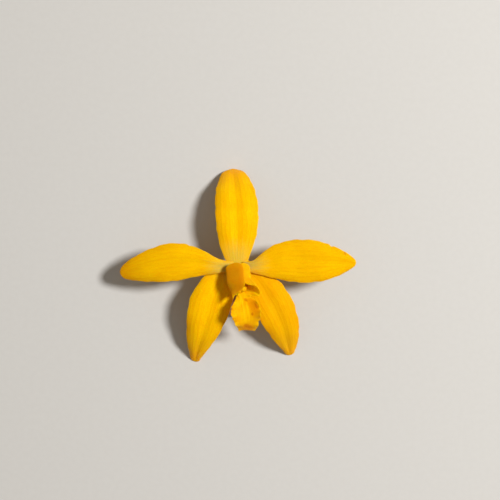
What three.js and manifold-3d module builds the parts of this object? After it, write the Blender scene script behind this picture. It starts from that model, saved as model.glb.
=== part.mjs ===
// One cut flower of a yellow laeliocattleya orchid, lying face up on a level surface.
// Millimetres. +Z points out of the face of the flower, +Y to its top and +X to its right, seen from above.
// The origin is on the surface, under the middle of the flower's outline.

import * as THREE from "three";
import { mergeVertices } from "three/addons/utils/BufferGeometryUtils.js";
import Module from "manifold-3d";

// Driving dimensions

const SEPAL_UNDERSIDE = 8.6; // height of the sepal bases above the surface
const BLADE_THICKNESS = 0.9; // a sepal or petal along its midrib
const BLADE_EDGE = 0.64; // and at its margins
const LIP_THICKNESS = 0.62;
const SEAT_GAP = 0.3; // between pieces that meet on the flower
const BOSS_RADIUS = 1.45; // the core of the receptacle, between the bases
const COLLAR_RADIUS = 2.7; // top of the ovary, under the sepal bases

const BLADE_ROWS = 26; // steps from base to tip
const BLADE_COLUMNS = 10; // steps from margin to margin
const LIP_ROWS = 46;
const LIP_COLUMNS = 24;
const TANGENT_STEP = 1e-3; // share of a spline's length over which its direction is measured

const SEPAL_MID = SEPAL_UNDERSIDE + BLADE_THICKNESS / 2;
const PETAL_MID = SEPAL_MID + BLADE_THICKNESS + SEAT_GAP;
const BOSS_TOP = SEPAL_MID + BLADE_THICKNESS / 2;
const COLUMN_FOOT = BOSS_TOP + SEAT_GAP;

// Colours

const YELLOW = { color: "#f7b500", roughness: 0.55, metalness: 0 };
const PALE_YELLOW = { color: "#f3c64a", roughness: 0.55, metalness: 0 };
const DEEP_YELLOW = { color: "#f0a800", roughness: 0.5, metalness: 0 };
const POLLEN_YELLOW = { color: "#e8c640", roughness: 0.6, metalness: 0 };
const STALK_GREEN = { color: "#b98f62", roughness: 0.6, metalness: 0 };

// Sepals and petals: each station is x, y, z and the half-widths to the left and right of the midrib,
// for an eye that looks from the base to the tip. Sepal tips come down to the surface. channel is how deep the
// midrib lies, droop how far the left and right margins fall, and wave the height of their waves.

const CHANNEL_WIDTH = 0.28; // of the midrib channel, as a share of the half-width
const SHAPED_FROM = 0.3; // a blade is flat at its base and shaped in full from this share of its length
const SHAPED_TO = 0.8; // to this one, and flat again at its tip
const WAVE_STARTS = [0.6, 2.4]; // phases of the waves on the left and right margins at the base

const DORSAL_SEPAL = {
  stations: [
    [0.0, 1.9, SEPAL_MID, 3.2, 3.0],
    [-0.2, 4.4, 9.6, 4.7, 4.3],
    [-0.2, 8.0, 10.3, 5.5, 5.5],
    [-0.35, 12.0, 10.5, 5.8, 6.0],
    [-0.4, 16.0, 10.0, 5.9, 6.05],
    [-0.75, 19.9, 8.5, 5.7, 5.55],
    [-1.1, 23.1, 5.8, 4.85, 4.6],
    [-1.45, 25.3, 2.8, 3.6, 3.25],
    [-1.5, 26.35, -0.3, 2.3, 2.1],
  ],
  channel: 0.4,
  droop: [0.7, 0.45],
  wave: 0.12,
  waves: 3,
  tipLength: 0.1,
};

const LEFT_LATERAL_SEPAL = {
  stations: [
    [-1.65, -0.95, SEPAL_MID, 2.2, 2.2],
    [-3.5, -2.4, 9.4, 2.9, 3.1],
    [-5.6, -5.8, 10.0, 4.9, 4.8],
    [-7.3, -10.6, 10.2, 5.7, 6.35],
    [-8.8, -15.8, 9.2, 5.1, 5.6],
    [-10.2, -20.6, 7.0, 3.8, 4.5],
    [-11.2, -24.0, 4.1, 2.3, 3.1],
    [-11.75, -26.1, 1.5, 1.4, 1.9],
    [-11.9, -27.2, -0.3, 1.0, 1.1],
  ],
  channel: 0.45,
  droop: [0.25, 0.6],
  wave: 0.18,
  waves: 4,
  tipLength: 0.04,
};

const RIGHT_LATERAL_SEPAL = {
  stations: [
    [1.65, -0.95, SEPAL_MID, 2.2, 2.2],
    [3.6, -2.6, 9.4, 3.1, 2.9],
    [6.6, -6.0, 10.0, 4.4, 4.8],
    [9.3, -10.6, 10.1, 5.7, 5.5],
    [11.5, -15.4, 9.1, 5.3, 4.75],
    [13.0, -19.6, 6.9, 4.4, 3.85],
    [13.8, -22.6, 3.9, 3.05, 2.4],
    [14.25, -24.5, 1.4, 1.9, 1.4],
    [14.45, -25.35, -0.3, 1.1, 0.9],
  ],
  channel: 0.45,
  droop: [0.5, 0.25],
  wave: 0.15,
  waves: 4,
  tipLength: 0.04,
};

const LEFT_PETAL = {
  stations: [
    [-1.9, -0.4, PETAL_MID, 1.1, 1.2],
    [-4.6, -0.5, 11.1, 2.0, 1.4],
    [-8.0, -0.1, 11.3, 2.9, 2.75],
    [-12.0, 0.5, 11.4, 4.1, 4.4],
    [-16.5, 0.6, 11.4, 5.2, 5.5],
    [-21.0, 0.1, 11.1, 5.1, 5.2],
    [-25.4, -0.8, 10.3, 4.3, 4.2],
    [-28.8, -1.5, 9.3, 3.3, 3.1],
    [-31.2, -2.4, 8.4, 2.4, 2.2],
    [-32.4, -3.1, 7.9, 1.0, 0.8],
  ],
  channel: 0.3,
  droop: [0.8, 0.3],
  wave: 0.18,
  waves: 4,
  tipLength: 0.04,
};

const RIGHT_PETAL = {
  stations: [
    [1.9, -0.5, PETAL_MID, 1.2, 1.0],
    [4.4, -0.6, 10.8, 1.2, 2.1],
    [7.6, 0.0, 11.2, 3.7, 3.6],
    [11.4, 0.5, 11.5, 5.4, 4.9],
    [15.6, 0.8, 11.8, 6.0, 5.9],
    [20.0, 0.8, 12.2, 6.0, 6.0],
    [24.2, 0.7, 12.4, 5.1, 5.3],
    [28.0, 0.6, 12.4, 3.6, 3.8],
    [31.0, 0.45, 12.3, 1.8, 2.0],
    [32.5, 0.25, 12.2, 0.6, 0.7],
  ],
  channel: 0.3,
  droop: [0.3, 0.8],
  wave: 0.2,
  waves: 4,
  tipLength: 0.04,
};

const TIP_CLOSING = 0.85; // how far the end of a tip closes to a point: 0 is square and 1 is a point

// Lip: each station is x, y, z of the middle, then width along the sheet, curl (one over the radius) and
// forward lean of the margin, first for the right side and then for the left, seen from above.

const LIP_STATIONS = [
  [0.0, -1.75, PETAL_MID, 1.1, 0.15, 0.0, 1.1, 0.15, 0.0],
  [0.0, -2.4, 10.25, 3.5, 0.3, 0.2, 2.8, 0.32, 0.2],
  [0.1, -3.2, 10.6, 8.3, 0.32, -2.4, 7.8, 0.33, -2.6],
  [0.15, -4.2, 11.1, 8.5, 0.32, -1.5, 8.8, 0.33, -1.4],
  [0.15, -5.3, 11.8, 8.4, 0.315, 0.3, 8.7, 0.33, 1.2],
  [0.2, -6.2, 12.4, 8.6, 0.31, 2.5, 8.8, 0.345, 4.0],
  [0.4, -7.0, 12.85, 5.9, 0.16, 3.9, 3.8, 0.5, 1.3],
  [0.6, -7.6, 13.15, 4.6, 0.12, 3.7, 3.7, 0.4, 3.2],
  [0.85, -8.3, 13.4, 3.0, 0.2, 1.4, 1.0, 0.3, -2.6],
  [1.1, -9.2, 13.8, 1.7, 0.17, 0.2, 0.8, 0.25, -1.0],
  [1.6, -10.6, 14.1, 3.7, 0.17, 0.0, 3.5, 0.15, 0.0],
  [1.9, -12.3, 14.2, 4.8, 0.17, 0.0, 4.2, 0.13, 0.0],
  [2.2, -14.1, 14.0, 4.6, 0.16, 0.0, 4.0, 0.12, 0.0],
  [2.45, -15.8, 13.4, 3.4, 0.12, 0.0, 3.3, 0.1, 0.0],
  [2.5, -17.2, 12.2, 2.7, 0.08, 0.0, 2.8, 0.08, 0.0],
  [2.45, -18.15, 10.7, 2.3, 0.06, 0.0, 2.2, 0.06, 0.0],
];
const LIP_FOLD_REACH = [1.43, 2.0]; // how far the right and left lobes fold in over the column, and
const LIP_FOLD_CLIMB = [0.35, 0.8]; // how much they rise as they do, as shares of the roll's radius
const LIP_FOLD_LIFT = 0.35; // how tightly both bend as the fold begins
const LIP_RUFFLE = 0.38; // height of the waves at the margin of the middle lobe
const LIP_SIDE_RUFFLE = 0.45; // of those at the margins of the side lobes, as a share of it
const LIP_RUFFLES = 9; // waves along the whole margin
const LIP_RUFFLE_STARTS = [0, 1.9]; // phases of the right and left waves at the base
const LIP_RUFFLED = [0.3, 0.45]; // shares of the length over which the waves grow on the side lobes
const LIP_WAIST = [0.5, 0.66]; // and over which they grow to full height on the middle lobe
const LIP_KEEL = 0.06; // height of the two ridges along the middle
const LIP_KEEL_OFFSET = 0.6; // of each ridge from the middle
const LIP_KEEL_GROWS = [0.1, 0.3]; // shares of the length over which the ridges rise
const LIP_KEEL_ENDS = [0.75, 0.9]; // and over which they fade out

// Column: each station is x, y, z of its axis, then half-width, back height and front depth.

const COLUMN_STATIONS = [
  [0.0, -0.5, COLUMN_FOOT, 1.2, 0.95, 0.75],
  [0.0, -0.55, 10.9, 1.35, 1.05, 0.7],
  [0.0, -1.8, 12.2, 1.6, 1.1, 1.0],
  [0.05, -3.1, 13.3, 1.75, 1.15, 1.1],
  [0.25, -4.4, 14.1, 1.85, 1.15, 1.0],
  [0.5, -5.6, 14.6, 1.85, 1.1, 1.0],
  [0.7, -6.4, 14.75, 1.65, 1.0, 0.95],
];
const COLUMN_ROWS = 22;
const COLUMN_SIDES = 18;
const STIGMA_DEPTH = 0.55; // hollow on the front of the column, behind the anther
const STIGMA_PLACE = 0.72; // of the way from foot to tip
const STIGMA_REACH = 0.13; // of the column's length, from its middle to where it has faded

// Anther cap and pollen masses, at the end of the column

const CAP_HALF_WIDTH = 1.6;
const CAP_HALF_HEIGHT = 1.0;
const CAP_DEPTH = 1.35;
const CAP_WALL = 0.35;
const CAP_GROOVE = 0.2; // depth of the furrow between the two halves, as a share of the cap's depth
const CAP_GROOVE_WIDTH = 0.35;
const CAP_RINGS = 8;
const CAP_SIDES = 20;
const POLLEN_RADIUS = 0.3;
const POLLEN_THICKNESS = 0.26;
const POLLEN_PITCH = 0.4;
const POLLEN_MASSES = 4;
const POLLEN_SIDES = 14;
const TAIL_THICKNESS = 0.16; // the band that joins the pollen masses
const TAIL_WIDTH = 0.32;

// Ovary and stalk: each station is x, y, z of the axis, then the radius.

const STALK_STATIONS = [
  [0.0, 0.0, SEPAL_UNDERSIDE - SEAT_GAP, COLLAR_RADIUS],
  [0.0, -0.05, 7.6, 2.35],
  [0.0, -0.4, 6.6, 1.85],
  [0.0, -1.3, 5.2, 1.75],
  [-0.1, -3.1, 3.8, 1.75],
  [-0.3, -5.6, 2.8, 1.65],
  [-0.7, -8.6, 2.2, 1.5],
  [-1.1, -11.5, 1.9, 1.3],
  [-1.6, -14.2, 1.75, 1.2],
];
const STALK_ROWS = 34;
const STALK_SIDES = 18;
const STALK_RIBS = 6;
const STALK_RIB_HEIGHT = 0.07; // as a share of the radius
const STALK_RIBS_GROW = [0.1, 0.25]; // shares of the length over which the ribs rise from the round collar
const STALK_RIBS_END = [0.6, 0.85]; // and over which they fade into the round stalk
const STALK_TWIST = Math.PI; // the ovary turns half a circle as the bud opens

// A point on the uniform cubic B-spline through rows of numbers, with t from 0 at the first to 1 at the last.
function splineAt(rows, t) {
  const spans = rows.length - 1;
  const place = Math.min(Math.max(t, 0), 1) * spans;
  const first = Math.min(Math.floor(place), spans - 1);
  const f = place - first;
  const rowAt = (index) => {
    if (index < 0) return rows[0].map((value, k) => 2 * value - rows[1][k]);
    if (index > spans) return rows[spans].map((value, k) => 2 * value - rows[spans - 1][k]);
    return rows[index];
  };
  const weights = [
    (1 - f) ** 3 / 6,
    (3 * f ** 3 - 6 * f ** 2 + 4) / 6,
    (-3 * f ** 3 + 3 * f ** 2 + 3 * f + 1) / 6,
    f ** 3 / 6,
  ];
  const near = [rowAt(first - 1), rowAt(first), rowAt(first + 1), rowAt(first + 2)];
  return rows[0].map((_, k) => weights.reduce((sum, weight, i) => sum + weight * near[i][k], 0));
}

// Smooth step from 0 at a to 1 at b.
function ease([a, b], x) {
  const f = Math.min(Math.max((x - a) / (b - a), 0), 1);
  return f * f * (3 - 2 * f);
}

// The direction of a spline at t, from a point just before it to one just after it.
function directionAt(rows, t) {
  const before = new THREE.Vector3(...splineAt(rows, Math.max(t - TANGENT_STEP, 0)).slice(0, 3));
  const after = new THREE.Vector3(...splineAt(rows, Math.min(t + TANGENT_STEP, 1)).slice(0, 3));
  return after.sub(before).normalize();
}

// The frame at t along a spline: its point, the direction along it, the side to the left and the upper side.
function frameAt(rows, t) {
  const forward = directionAt(rows, t);
  const left = new THREE.Vector3(0, 0, 1).cross(forward).normalize();
  const upper = forward.clone().cross(left);
  const row = splineAt(rows, t);
  return { point: new THREE.Vector3(...row.slice(0, 3)), forward, left, upper, row };
}

// A closed slab round a middle surface place(u, v), with u from 0 to 1 and v from -1 to 1. Both faces are
// split into triangles alike. Nothing reaches below the level surface at z = 0.
function slabGeometry(place, thickness, rows, columns) {
  const middle = [];
  for (let i = 0; i <= rows; i++)
    for (let j = 0; j <= columns; j++) middle.push(place(i / rows, (2 * j) / columns - 1));
  const at = (i, j) => i * (columns + 1) + j;
  const layer = middle.length;
  const positions = new Float32Array(6 * layer);
  for (let i = 0; i <= rows; i++)
    for (let j = 0; j <= columns; j++) {
      const along = middle[at(Math.min(i + 1, rows), j)].clone().sub(middle[at(Math.max(i - 1, 0), j)]);
      const across = middle[at(i, Math.min(j + 1, columns))].clone().sub(middle[at(i, Math.max(j - 1, 0))]);
      const half = thickness(i / rows, (2 * j) / columns - 1) / 2;
      const offset = along.cross(across).normalize().multiplyScalar(half);
      const upper = middle[at(i, j)].clone().add(offset);
      const lower = middle[at(i, j)].clone().sub(offset);
      positions.set([upper.x, upper.y, Math.max(upper.z, 0)], 3 * at(i, j));
      positions.set([lower.x, lower.y, Math.max(lower.z, 0)], 3 * (layer + at(i, j)));
    }
  const index = [];
  for (let i = 0; i < rows; i++)
    for (let j = 0; j < columns; j++) {
      const [a, b, c, d] = [at(i, j), at(i + 1, j), at(i + 1, j + 1), at(i, j + 1)];
      index.push(a, b, c, a, c, d);
      index.push(layer + a, layer + c, layer + b, layer + a, layer + d, layer + c);
    }
  const border = [];
  for (let i = 0; i < rows; i++) border.push(at(i, 0));
  for (let j = 0; j < columns; j++) border.push(at(rows, j));
  for (let i = rows; i > 0; i--) border.push(at(i, columns));
  for (let j = columns; j > 0; j--) border.push(at(0, j));
  border.forEach((a, k) => {
    const b = border[(k + 1) % border.length];
    index.push(a, layer + a, b, b, layer + a, layer + b);
  });
  return bufferGeometry(positions, index);
}

// A closed tube through rings of points, with a flat or pointed end at each middle.
function ringGeometry(rings, firstMiddle, lastMiddle) {
  const sides = rings[0].length;
  const positions = new Float32Array(3 * (rings.length * sides + 2));
  rings.flat().forEach((p, k) => positions.set([p.x, p.y, p.z], 3 * k));
  const first = rings.length * sides;
  const last = first + 1;
  positions.set(firstMiddle.toArray(), 3 * first);
  positions.set(lastMiddle.toArray(), 3 * last);
  const index = [];
  for (let k = 0; k < sides; k++) {
    const next = (k + 1) % sides;
    index.push(first, next, k);
    index.push(last, (rings.length - 1) * sides + k, (rings.length - 1) * sides + next);
    for (let i = 0; i + 1 < rings.length; i++) {
      const [a, b] = [i * sides + k, i * sides + next];
      const [c, d] = [a + sides, b + sides];
      index.push(a, b, d, a, d, c);
    }
  }
  return bufferGeometry(positions, index);
}

function bufferGeometry(positions, index) {
  const geometry = new THREE.BufferGeometry();
  geometry.setAttribute("position", new THREE.BufferAttribute(positions, 3));
  geometry.setIndex(index);
  geometry.computeVertexNormals();
  return geometry;
}

function mesh(name, geometry, finish) {
  const made = new THREE.Mesh(geometry, new THREE.MeshStandardMaterial(finish));
  made.name = name;
  return made;
}

// A sepal or petal: a blade along its stations, channelled at the midrib, drooping and waved at the margins,
// with a tip that closes on an elliptic curve over the last share of its length.
function bladeGeometry(blade) {
  const place = (u, v) => {
    const { point, left, upper, row } = frameAt(blade.stations, u);
    const side = v > 0 ? 0 : 1;
    const shaped = ease([0, SHAPED_FROM], u) * (1 - ease([SHAPED_TO, 1], u));
    const channel = -blade.channel * Math.exp(-((v / CHANNEL_WIDTH) ** 2));
    const droop = -blade.droop[side] * Math.abs(v) ** 3;
    const phase = 2 * Math.PI * blade.waves * u + WAVE_STARTS[side];
    const wave = blade.wave * Math.abs(v) ** 4 * Math.sin(phase);
    const height = shaped * (channel + droop + wave);
    const closing = Math.max((u - 1) / blade.tipLength + 1, 0);
    const breadth = row[3 + side] * Math.sqrt(1 - TIP_CLOSING * closing ** 2);
    return point.addScaledVector(left, breadth * v).addScaledVector(upper, height);
  };
  const thickness = (u, v) => BLADE_THICKNESS + (BLADE_EDGE - BLADE_THICKNESS) * v * v;
  return slabGeometry(place, thickness, BLADE_ROWS, BLADE_COLUMNS);
}

// The roll of the lip in its own cross section, for a radius of 1: a circle for a quarter of a turn, and then
// a fold that reaches in over the column and rises as it does.
function rollAt(turn, side) {
  if (turn < Math.PI / 2) return [Math.sin(turn), 1 - Math.cos(turn)];
  const fold = 1 - Math.sin(turn);
  return [1 - LIP_FOLD_REACH[side] * fold, 1 + LIP_FOLD_CLIMB[side] * fold + LIP_FOLD_LIFT * Math.sqrt(fold)];
}

// The lip: a sheet whose side lobes roll up round the column, and whose middle lobe is a ruffled trough.
function lipGeometry() {
  const place = (u, v) => {
    const { point, forward, left, upper, row } = frameAt(LIP_STATIONS, u);
    const side = v > 0 ? 0 : 1;
    const [width, curl, lean] = row.slice(3 + 3 * side, 6 + 3 * side);
    const [sideways, height] = rollAt(width * curl * Math.abs(v), side);
    const share = LIP_SIDE_RUFFLE + (1 - LIP_SIDE_RUFFLE) * ease(LIP_WAIST, u);
    const ruffle = LIP_RUFFLE * share * ease(LIP_RUFFLED, u) * Math.abs(v) ** 4;
    const phase = 2 * Math.PI * LIP_RUFFLES * u + LIP_RUFFLE_STARTS[side];
    const keel = ((Math.abs(v) * width - LIP_KEEL_OFFSET) / (LIP_KEEL_OFFSET / 2)) ** 2;
    const rise = LIP_KEEL * Math.exp(-keel) * ease(LIP_KEEL_GROWS, u) * (1 - ease(LIP_KEEL_ENDS, u));
    return point
      .addScaledVector(left, (Math.sign(v) * sideways) / curl)
      .addScaledVector(upper, height / curl + ruffle * Math.sin(phase) + rise)
      .addScaledVector(forward, lean * v ** 4);
  };
  return slabGeometry(place, () => LIP_THICKNESS, LIP_ROWS, LIP_COLUMNS);
}

// The column: a half-round club, flat in front, with a shallow hollow behind the anther.
function columnGeometry() {
  const rings = [];
  for (let i = 0; i <= COLUMN_ROWS; i++) {
    const t = i / COLUMN_ROWS;
    const { point, left, upper, row } = frameAt(COLUMN_STATIONS, t);
    const ring = [];
    for (let k = 0; k < COLUMN_SIDES; k++) {
      const turn = (2 * Math.PI * k) / COLUMN_SIDES;
      const back = Math.sin(turn) > 0;
      const hollow = back ? 0 : STIGMA_DEPTH * Math.sin(turn) ** 4;
      const inset = hollow * Math.exp(-(((t - STIGMA_PLACE) / STIGMA_REACH) ** 2));
      const height = (back ? row[4] : row[5]) * Math.sin(turn) + inset;
      ring.push(point.clone().addScaledVector(left, row[3] * Math.cos(turn)).addScaledVector(upper, height));
    }
    rings.push(ring);
  }
  return ringGeometry(rings, frameAt(COLUMN_STATIONS, 0).point, frameAt(COLUMN_STATIONS, 1).point);
}

// The group that stands at the end of the column, with its own +Z along the column and +Y to its back.
function columnEnd() {
  const { point, forward, left, upper } = frameAt(COLUMN_STATIONS, 1);
  const end = new THREE.Group();
  end.matrix.makeBasis(left, upper, forward).setPosition(point.addScaledVector(forward, SEAT_GAP));
  end.matrixAutoUpdate = false;
  return end;
}

// The anther cap: a two-lobed hood, open towards the column.
function antherCapGeometry() {
  const shell = (shrink) => {
    const rings = [];
    for (let i = 1; i <= CAP_RINGS; i++) {
      const tilt = ((Math.PI / 2) * i) / CAP_RINGS;
      const ring = [];
      for (let k = 0; k < CAP_SIDES; k++) {
        const turn = (2 * Math.PI * k) / CAP_SIDES;
        const x = (CAP_HALF_WIDTH - shrink) * Math.sin(tilt) * Math.cos(turn);
        const y = (CAP_HALF_HEIGHT - shrink) * Math.sin(tilt) * Math.sin(turn);
        const furrow = 1 - CAP_GROOVE * Math.exp(-((x / CAP_GROOVE_WIDTH) ** 2));
        ring.push(new THREE.Vector3(x, y, (CAP_DEPTH - shrink) * Math.cos(tilt) * furrow));
      }
      rings.push(ring);
    }
    return rings;
  };
  const furrowed = 1 - CAP_GROOVE;
  const outerTop = new THREE.Vector3(0, 0, CAP_DEPTH * furrowed);
  const innerTop = new THREE.Vector3(0, 0, (CAP_DEPTH - CAP_WALL) * furrowed);
  const rings = [...shell(CAP_WALL), ...shell(0).reverse()];
  return ringGeometry(rings, innerTop, outerTop);
}

// The pollen masses: flat discs side by side, joined by one soft band.
function pollenGeometry(wasm) {
  const parts = [];
  const span = POLLEN_PITCH * (POLLEN_MASSES - 1);
  for (let k = 0; k < POLLEN_MASSES; k++) {
    const disc = new THREE.CylinderGeometry(POLLEN_RADIUS, POLLEN_RADIUS, POLLEN_THICKNESS, POLLEN_SIDES);
    disc.rotateZ(Math.PI / 2);
    disc.translate(-span / 2 + k * POLLEN_PITCH, 0, POLLEN_RADIUS);
    parts.push(disc);
  }
  const band = new THREE.BoxGeometry(span, TAIL_WIDTH, TAIL_THICKNESS);
  band.translate(0, 0, TAIL_THICKNESS);
  parts.push(band);
  const solid = parts.map((part) => solidOf(wasm, part)).reduce((whole, part) => whole.add(part));
  const joined = solid.getMesh();
  return bufferGeometry(new Float32Array(joined.vertProperties), Array.from(joined.triVerts));
}

// A closed geometry as a solid, with its shared corners merged.
function solidOf(wasm, geometry) {
  geometry.deleteAttribute("normal");
  geometry.deleteAttribute("uv");
  const merged = mergeVertices(geometry);
  const vertProperties = merged.attributes.position.array;
  const triVerts = new Uint32Array(merged.index.array);
  return new wasm.Manifold(new wasm.Mesh({ numProp: 3, vertProperties, triVerts }));
}

// The ovary and its stalk: a ribbed, twisted tube that bends back under the lip, with the boss that the
// bases stand round on its top.
function stalkGeometry() {
  const rings = [];
  const circle = (middle, left, upper, radius, twist, ribs) => {
    const ring = [];
    for (let k = 0; k < STALK_SIDES; k++) {
      const turn = (2 * Math.PI * k) / STALK_SIDES;
      const swell = 1 + ribs * Math.cos(STALK_RIBS * turn);
      ring.push(
        middle
          .clone()
          .addScaledVector(left, radius * swell * Math.cos(turn + twist))
          .addScaledVector(upper, radius * swell * Math.sin(turn + twist)),
      );
    }
    return ring;
  };
  const side = new THREE.Vector3(1, 0, 0);
  const front = new THREE.Vector3(0, -1, 0);
  const collar = new THREE.Vector3(0, 0, SEPAL_UNDERSIDE - SEAT_GAP);
  const bossTop = new THREE.Vector3(0, 0, BOSS_TOP);
  rings.push(circle(bossTop, side, front, BOSS_RADIUS, 0, 0));
  rings.push(circle(collar, side, front, BOSS_RADIUS, 0, 0));
  for (let i = 0; i <= STALK_ROWS; i++) {
    const t = i / STALK_ROWS;
    const forward = directionAt(STALK_STATIONS, t);
    const upper = forward.clone().cross(side).normalize();
    const left = upper.clone().cross(forward);
    const [x, y, z, radius] = splineAt(STALK_STATIONS, t);
    const ribs = STALK_RIB_HEIGHT * ease(STALK_RIBS_GROW, t) * (1 - ease(STALK_RIBS_END, t));
    rings.push(circle(new THREE.Vector3(x, y, z), left, upper, radius, STALK_TWIST * t, ribs));
  }
  const cut = splineAt(STALK_STATIONS, 1).slice(0, 3);
  return ringGeometry(rings, bossTop, new THREE.Vector3(...cut));
}

const wasm = await Module();
wasm.setup();

const flower = new THREE.Group();
flower.add(mesh("dorsal_sepal", bladeGeometry(DORSAL_SEPAL), YELLOW));
flower.add(mesh("lateral_sepal_left", bladeGeometry(LEFT_LATERAL_SEPAL), YELLOW));
flower.add(mesh("lateral_sepal_right", bladeGeometry(RIGHT_LATERAL_SEPAL), YELLOW));
flower.add(mesh("petal_left", bladeGeometry(LEFT_PETAL), YELLOW));
flower.add(mesh("petal_right", bladeGeometry(RIGHT_PETAL), YELLOW));
flower.add(mesh("lip", lipGeometry(), DEEP_YELLOW));
flower.add(mesh("column", columnGeometry(), PALE_YELLOW));
flower.add(mesh("ovary_and_pedicel", stalkGeometry(), STALK_GREEN));
const end = columnEnd();
end.add(mesh("anther_cap", antherCapGeometry(), PALE_YELLOW));
end.add(mesh("pollinia", pollenGeometry(wasm), POLLEN_YELLOW));
flower.add(end);

export default flower;
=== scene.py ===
"""Surfaces, finishes, light and camera for one cut yellow laeliocattleya flower that lies face up.

Metres. +Z points out of the face of the flower, +Y to the tip of its upper sepal and +X to its right petal.
Sizes are written in millimetres, and MM turns them into metres when a mesh is made.
"""

import logging
import math
from abc import ABC, abstractmethod
from dataclasses import dataclass, field, replace
from enum import Enum
from typing import NamedTuple, Union

import bmesh
import bpy
import numpy as np
from mathutils import Matrix, Vector


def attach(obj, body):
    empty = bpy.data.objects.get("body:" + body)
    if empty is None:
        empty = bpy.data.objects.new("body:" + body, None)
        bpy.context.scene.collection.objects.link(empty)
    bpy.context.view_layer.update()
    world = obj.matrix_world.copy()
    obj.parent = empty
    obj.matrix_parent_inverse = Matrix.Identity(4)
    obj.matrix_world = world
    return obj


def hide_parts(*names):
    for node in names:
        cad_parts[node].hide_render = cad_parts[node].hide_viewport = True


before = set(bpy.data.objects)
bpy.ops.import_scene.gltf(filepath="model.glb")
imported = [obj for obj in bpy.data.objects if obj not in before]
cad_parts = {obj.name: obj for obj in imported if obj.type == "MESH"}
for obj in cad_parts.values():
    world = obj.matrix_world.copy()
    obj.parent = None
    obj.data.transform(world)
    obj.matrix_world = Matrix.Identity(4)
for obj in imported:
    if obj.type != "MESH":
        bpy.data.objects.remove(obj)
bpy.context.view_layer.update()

MM = 0.001
MERGE_DISTANCE = 1e-8  # metres, under which two points are one
SLOPE_STEP = 1e-4  # share of a sheet over which its slope is measured
SLOPE_MARGIN = 1e-3  # share of a sheet along its border that takes the slope from just inside
END_ROUNDING = 0.012  # share of a sheet's length over which each end is rounded off
LOG = logging.getLogger("orchid")

Array = np.ndarray
Table = tuple[tuple[float, ...], ...]
Pair = tuple[float, float]
Point = tuple[float, float, float]
Colour = tuple[float, float, float, float]
Fade = tuple[float, float, float, float]  # where a smooth step starts and ends, and its results there
Socket = bpy.types.NodeSocket
Material = bpy.types.Material
Feed = Union[Socket, float, Colour]
Layers = list[tuple[Feed, str]]
Marks = dict[str, Array]


class Slot(Enum):
    """Names of the record's material slots, which the sepals and petals list."""

    SEPAL = "sepal"
    PETAL = "petal"
    LIP = "lip"
    COLUMN = "column"
    ANTHER_CAP = "anther_cap"
    POLLEN = "pollen"
    OVARY = "ovary"


# Levels that the pieces share and what they are stacked from, in millimetres

SEPAL_UNDERSIDE = 8.6
SOLID_THICKNESS = 0.9  # of the CAD model's sepals and petals along their midribs
SEAT_GAP = 0.3  # between solids that meet on the flower
SEPAL_MID = SEPAL_UNDERSIDE + SOLID_THICKNESS / 2.0
PETAL_MID = SEPAL_MID + SOLID_THICKNESS + SEAT_GAP
BOSS_TOP = SEPAL_UNDERSIDE + SOLID_THICKNESS
COLUMN_FOOT = BOSS_TOP + SEAT_GAP


# Curves and grids


def ease(low: float, high: float, x: Array) -> Array:
    """Smooth step: 0 up to low, 1 from high on, and 3f squared less 2f cubed between them."""
    share = np.clip((x - low) / (high - low), 0.0, 1.0)
    return share * share * (3.0 - 2.0 * share)


def hump(x: Array, middle: float, width: float) -> Array:
    """Bell curve: e to the power of minus the square of the distance from middle over width."""
    return np.exp(-(((x - middle) / width) ** 2))


def unit(vectors: Array) -> Array:
    """Vectors divided by their own lengths."""
    return vectors / np.linalg.norm(vectors, axis=-1, keepdims=True)


def linear(code: str) -> Colour:
    """Turns a colour such as #f7b500 into linear red, green, blue and an alpha of 1.

    This is the usual curve of screens. A channel up to 0.04045 is divided by 12.92. A higher one has 0.055
    added, is divided by 1.055 and is raised to the power of 2.4.

    Args:
        code: the colour as a hash and six hexadecimal digits, as a screen shows it.

    Returns:
        The linear colour that a shader socket takes.
    """
    shown = [int(code[k : k + 2], 16) / 255.0 for k in (1, 3, 5)]
    red, green, blue = (s / 12.92 if s <= 0.04045 else ((s + 0.055) / 1.055) ** 2.4 for s in shown)
    return (red, green, blue, 1.0)


class Frames(NamedTuple):
    """Places along a path, each with its axes and its further station values."""

    point: Array
    forward: Array
    left: Array
    upper: Array
    extra: Array


def frames_along(stations: Table, t: Array) -> Frames:
    """Works out points and axes along the uniform cubic B-spline through a table of stations.

    A value at fraction f of a span is the sum of four neighbouring rows times the cubic B-spline weights.
    The ends are carried on straight, so the curve starts at the first station and stops at the last. Left is
    the vertical axis crossed with the direction, and upper is the direction crossed with left.

    Args:
        stations: rows of x, y, z and further values, in millimetres.
        t: places from 0 at the first station to 1 at the last, in any shape.

    Returns:
        The frames, with the shape of t and one axis more.
    """
    table = np.array(stations, float)
    rows = np.vstack([2 * table[0] - table[1], table, 2 * table[-1] - table[-2]])
    spans = len(table) - 1
    place = np.clip(t, 0.0, 1.0) * spans
    first = np.minimum(place.astype(int), spans - 1)
    f = (place - first)[..., None]
    weights = ((1 - f) ** 3, 3 * f**3 - 6 * f**2 + 4, -3 * f**3 + 3 * f**2 + 3 * f + 1, f**3)
    slopes = (-((1 - f) ** 2), 3 * f**2 - 4 * f, -3 * f**2 + 2 * f + 1, f**2)
    value = sum(w * rows[first + k] for k, w in enumerate(weights)) / 6.0
    slope = sum(w * rows[first + k] for k, w in enumerate(slopes)) / 2.0
    forward = unit(slope[..., :3])
    left = unit(np.cross((0.0, 0.0, 1.0), forward))
    return Frames(value[..., :3], forward, left, np.cross(forward, left), value[..., 3:])


def crowded(count: int) -> Array:
    """Sines of equal steps over a quarter turn: from 0 to 1, and closer together towards 1."""
    return np.sin(np.linspace(0.0, math.pi / 2.0, count))


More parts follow.
